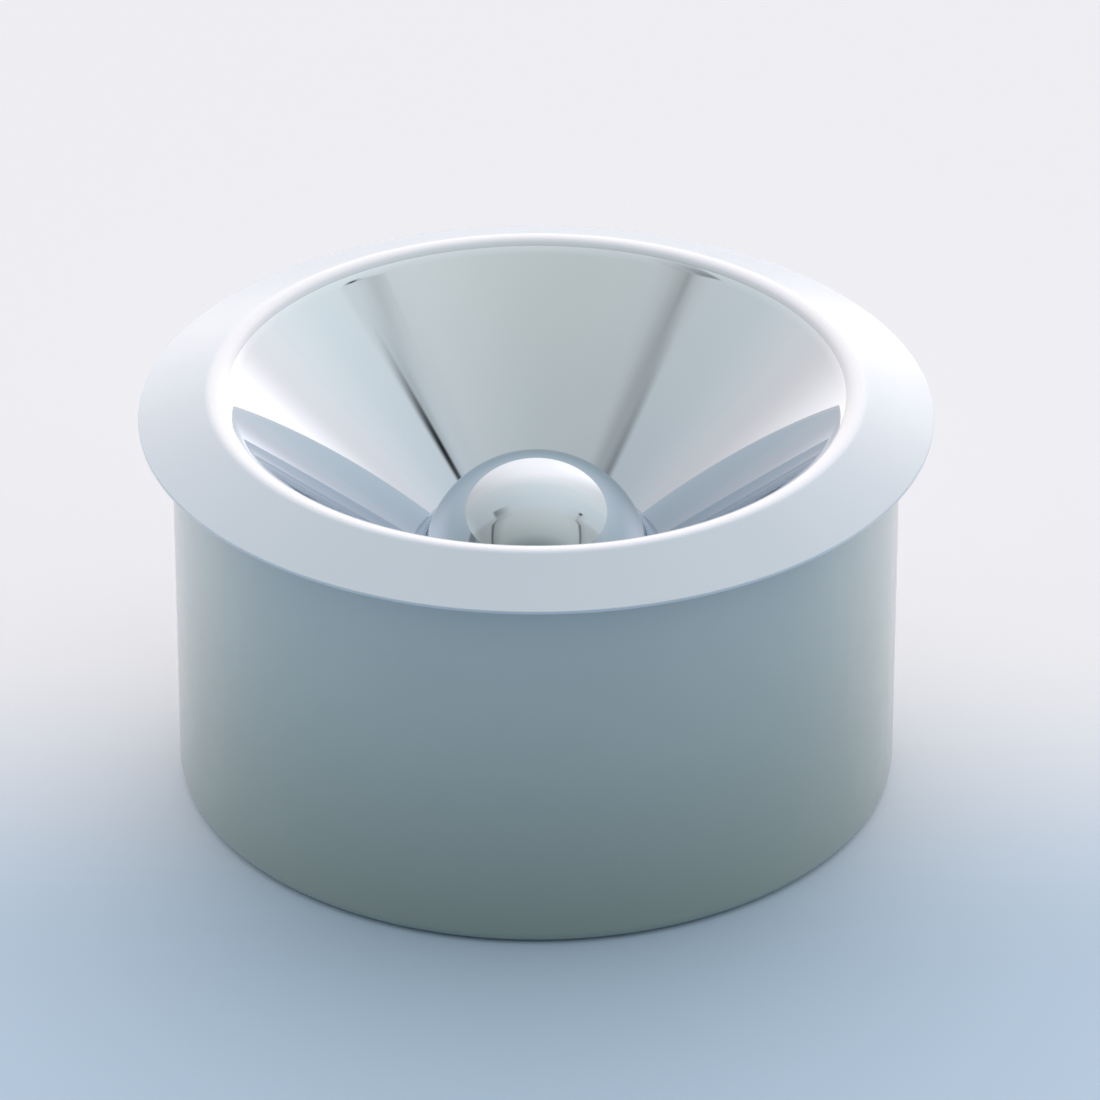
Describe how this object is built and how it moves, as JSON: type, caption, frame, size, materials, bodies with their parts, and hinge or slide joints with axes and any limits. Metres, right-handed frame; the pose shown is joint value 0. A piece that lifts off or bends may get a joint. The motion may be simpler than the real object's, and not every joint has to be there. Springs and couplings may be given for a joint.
{
  "type": "ceiling air diffuser",
  "caption": "Round ceiling air diffuser: plain duct spigot, bevelled flange, mirror funnel and a polished ball core that winds down a spindle to open the outlet.",
  "frame": {"origin": "centre of the foot rim at the duct end, where the part stands on a surface", "axes": "+Z along the part's axis, out of the duct towards the room; +Y through one spider arm"},
  "size_m": [0.1724, 0.1724, 0.0927],
  "materials": {
    "grey_paint": "matt grey powder paint",
    "white_paint": "satin white powder paint",
    "mirror_aluminium": "mirror polished and anodised aluminium",
    "chrome": "polished chrome plate",
    "cast_aluminium": "blasted die casting",
    "zinc_plate": "bright zinc plate",
    "spring_steel": "oiled dark steel",
    "brass": "turned brass",
    "black_plastic": "moulded black nylon",
    "black_rubber": "soft black rubber",
    "grey_foam": "open-cell grey foam"
  },
  "bodies": {
    "housing": {"acoustic_liner": "grey_foam", "face_ring": "white_paint", "flange_gasket": "grey_foam", "funnel": "mirror_aluminium", "housing_can": "grey_paint", "spider": "cast_aluminium", "spider_rivet_1": "zinc_plate", "spider_rivet_2": "zinc_plate", "spider_rivet_3": "zinc_plate", "spindle": "spring_steel", "spindle_nut": "zinc_plate", "spindle_washer": "zinc_plate", "stop_clip": "spring_steel", "throat_collar": "black_plastic", "throat_seal": "black_rubber", "tie_pillar_1": "zinc_plate", "tie_pillar_2": "zinc_plate", "tie_pillar_3": "zinc_plate", "tie_screw_1": "zinc_plate", "tie_screw_2": "zinc_plate", "tie_screw_3": "zinc_plate", "tie_washer_1": "zinc_plate", "tie_washer_2": "zinc_plate", "tie_washer_3": "zinc_plate"},
    "detent": {"detent_washer": "spring_steel"},
    "core": {"ball_cap": "chrome", "ball_base": "chrome", "ball_hub": "black_plastic", "hub_screw_1": "zinc_plate", "hub_screw_2": "zinc_plate", "hub_screw_3": "zinc_plate", "thread_insert": "brass", "wave_spring": "spring_steel", "spring_retainer": "spring_steel"}
  },
  "joints": [
    {"name": "core_travel", "type": "slide", "parent": "housing", "child": "detent", "axis": [0, 0, -1], "range_m": [0, 0.015]},
    {"name": "core_turn", "type": "hinge", "parent": "detent", "child": "core", "pos_m": [0, 0, 0.0485], "axis": [0, 0, -1], "range_deg": [0, 1350]}
  ],
  "couplings": [
    {"joint": "core_travel", "follows": "core_turn", "m_per_rad": 0.0006366}
  ]
}
